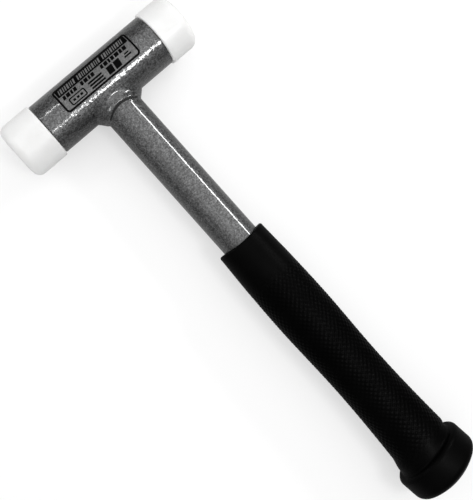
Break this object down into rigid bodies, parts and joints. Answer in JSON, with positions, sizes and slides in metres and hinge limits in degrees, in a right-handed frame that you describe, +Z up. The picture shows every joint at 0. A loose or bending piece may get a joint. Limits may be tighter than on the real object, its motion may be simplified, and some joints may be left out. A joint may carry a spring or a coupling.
{
  "type": "dead blow mallet",
  "caption": "Dead blow mallet with a steel tube head full of loose shot, screw-in nylon faces, a welded tubular steel handle and a black rubber grip with a collar.",
  "frame": {"origin": "middle of the mallet's bounding box, on the surface that it lies on", "axes": "+X along the head's axis towards the shorter, more worn face; +Y away from the grip's butt, so the handle points towards -Y; +Z up from the surface that it lies on"},
  "size_m": [0.106, 0.2784, 0.04],
  "materials": {
    "head_paint": "dark grey hammer-fleck metallic paint with a gloss clear coat",
    "handle_paint": "dark grey metallic paint with a gloss clear coat",
    "weld": "painted weld bead",
    "socket_steel": "turned bare steel",
    "shot": "plain steel balls",
    "seal": "smooth nitrile rubber",
    "nylon": "milky white nylon, satin",
    "plug": "moulded black plastic",
    "grip_rubber": "black moulded rubber, smooth at the lip and fine pebble grain below",
    "label_film": "thin printed film, satin"
  },
  "bodies": {
    "root": {"head_tube": "head_paint", "handle_tube": "handle_paint", "weld_bead": "weld", "socket_left": "socket_steel", "socket_right": "socket_steel", "handle_plug": "plug", "grip": "grip_rubber", "label": "label_film"},
    "shot": {"shot_charge": "shot"},
    "seal_left": {"o_ring_left": "seal"},
    "seal_right": {"o_ring_right": "seal"},
    "left_face": {"face_left": "nylon"},
    "right_face": {"face_right": "nylon"}
  },
  "joints": [
    {"name": "shot_slide", "type": "slide", "parent": "root", "child": "shot", "axis": [1, 0, 0], "range_m": [-0.0045, 0.0045]},
    {"name": "left_travel", "type": "slide", "parent": "root", "child": "seal_left", "axis": [-1, 0, 0], "range_m": [0, 0.012]},
    {"name": "left_unscrew", "type": "hinge", "parent": "seal_left", "child": "left_face", "pos_m": [-0.0339, 0.12424, 0.015], "axis": [-1, 0, 0], "range_deg": [0, 2160]},
    {"name": "right_travel", "type": "slide", "parent": "root", "child": "seal_right", "axis": [1, 0, 0], "range_m": [0, 0.012]},
    {"name": "right_unscrew", "type": "hinge", "parent": "seal_right", "child": "right_face", "pos_m": [0.0361, 0.12424, 0.015], "axis": [1, 0, 0], "range_deg": [0, 2160]}
  ],
  "couplings": [
    {"joint": "left_travel", "follows": "left_unscrew", "m_per_rad": 0.0003183},
    {"joint": "right_travel", "follows": "right_unscrew", "m_per_rad": 0.0003183}
  ]
}
